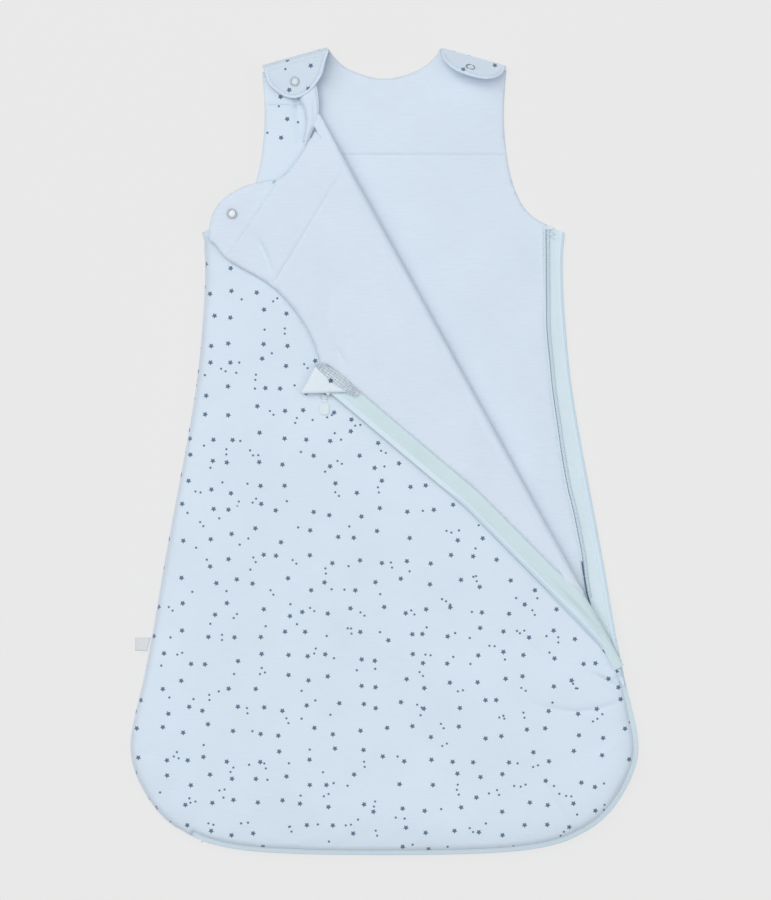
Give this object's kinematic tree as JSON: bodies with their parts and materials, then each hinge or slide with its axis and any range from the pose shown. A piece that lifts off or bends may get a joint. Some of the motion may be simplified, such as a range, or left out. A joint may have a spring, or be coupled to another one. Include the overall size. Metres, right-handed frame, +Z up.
{
  "type": "baby sleeping bag",
  "caption": "Sleeveless padded baby sleeping bag laid flat: side-opening zip, snap tabs at the shoulders, one top corner of the front folded open",
  "frame": {"origin": "centre of the bag's outline on the surface it lies on", "axes": "+Y to the head end, +X to the side with the open zip, +Z up out of the front"},
  "size_m": [0.4405, 0.6979, 0.036],
  "materials": {
    "printed_shell": "soft cotton jersey, pale blue with a sparse print of small stars and dots",
    "lining": "plain pale blue cotton jersey, fine rib",
    "wadding": "white polyester wadding, hidden",
    "binding": "pale blue jersey binding, folded over the edge and topstitched",
    "zip_tape": "woven pale mint polyester tape",
    "zip_plastic": "satin pale mint nylon",
    "white_cloth": "off-white woven cloth",
    "snap_metal": "satin plated metal",
    "snap_plastic": "pearl white plastic"
  },
  "bodies": {
    "bag": {"back_armhole_binding_left": "binding", "back_armhole_binding_right": "binding", "back_lining": "lining", "back_neck_binding": "binding", "back_outer_shell": "printed_shell", "back_wadding": "wadding", "back_yoke_lining": "lining", "front_armhole_binding_left": "binding", "front_fold": "lining", "front_lining": "lining", "front_neck_binding_left": "binding", "front_outer_shell": "printed_shell", "front_tab_lining_left": "lining", "front_tab_outer_left": "printed_shell", "front_wadding": "wadding", "left_shoulder_fold": "printed_shell", "right_shoulder_fold": "printed_shell", "side_label": "white_cloth", "side_seam_left": "printed_shell", "snap_stud_left": "snap_plastic", "snap_stud_ring_left": "snap_metal", "zip_bottom_stop": "zip_plastic", "zip_coil_back": "zip_plastic", "zip_coil_front_lower": "zip_plastic", "zip_insertion_pin": "snap_metal", "zip_tape_back": "zip_tape", "zip_tape_front_lower": "zip_tape"},
    "front_flap": {"flap_armhole_binding": "binding", "flap_lining": "lining", "flap_neck_binding": "binding", "flap_outer_shell": "printed_shell", "flap_tab_binding": "binding", "flap_tab_lining": "lining", "flap_tab_outer": "printed_shell", "flap_wadding": "wadding", "flap_yoke_lining": "lining", "zip_tape_flap": "zip_tape", "zip_coil_flap": "zip_plastic", "zip_garage": "white_cloth", "zip_retaining_box": "zip_plastic", "snap_stud_right": "snap_plastic", "snap_stud_ring_right": "snap_metal"},
    "left_back_tab": {"left_tab_outer": "printed_shell", "left_tab_lining": "lining", "left_tab_binding": "binding", "snap_cap_left": "snap_metal", "snap_socket_left": "snap_plastic"},
    "right_back_tab": {"right_tab_outer": "printed_shell", "right_tab_lining": "lining", "right_tab_binding": "binding", "snap_cap_right": "snap_metal", "snap_socket_right": "snap_plastic"},
    "zip_slider": {"slider_body": "zip_plastic", "slider_bail": "zip_plastic"},
    "zip_pull": {"pull_link": "zip_plastic", "pull_grip": "zip_plastic"}
  },
  "joints": [
    {"name": "flap_fold", "type": "hinge", "parent": "bag", "child": "front_flap", "pos_m": [0.06933, 0.0469, 0.02605], "axis": [-0.4835, 0.8753, 0], "range_deg": [0, 160], "deforming": ["front_fold"]},
    {"name": "left_tab_fold", "type": "hinge", "parent": "bag", "child": "left_back_tab", "pos_m": [-0.07566, 0.33479, 0.016], "axis": [-0.9519, -0.3065, 0], "range_deg": [0, 170], "deforming": ["left_shoulder_fold"]},
    {"name": "right_tab_fold", "type": "hinge", "parent": "bag", "child": "right_back_tab", "pos_m": [0.07618, 0.33641, 0.008], "axis": [-0.9519, 0.3065, 0], "range_deg": [-56, 114], "deforming": ["right_shoulder_fold"]},
    {"name": "slider_travel", "type": "slide", "parent": "front_flap", "child": "zip_slider", "axis": [0.7647, -0.6444, 0], "range_m": [0, 0.13]},
    {"name": "pull_swing", "type": "hinge", "parent": "zip_slider", "child": "zip_pull", "pos_m": [-0.052, 0.045, 0.0268], "axis": [-1, 0, 0], "range_deg": [0, 95]}
  ]
}
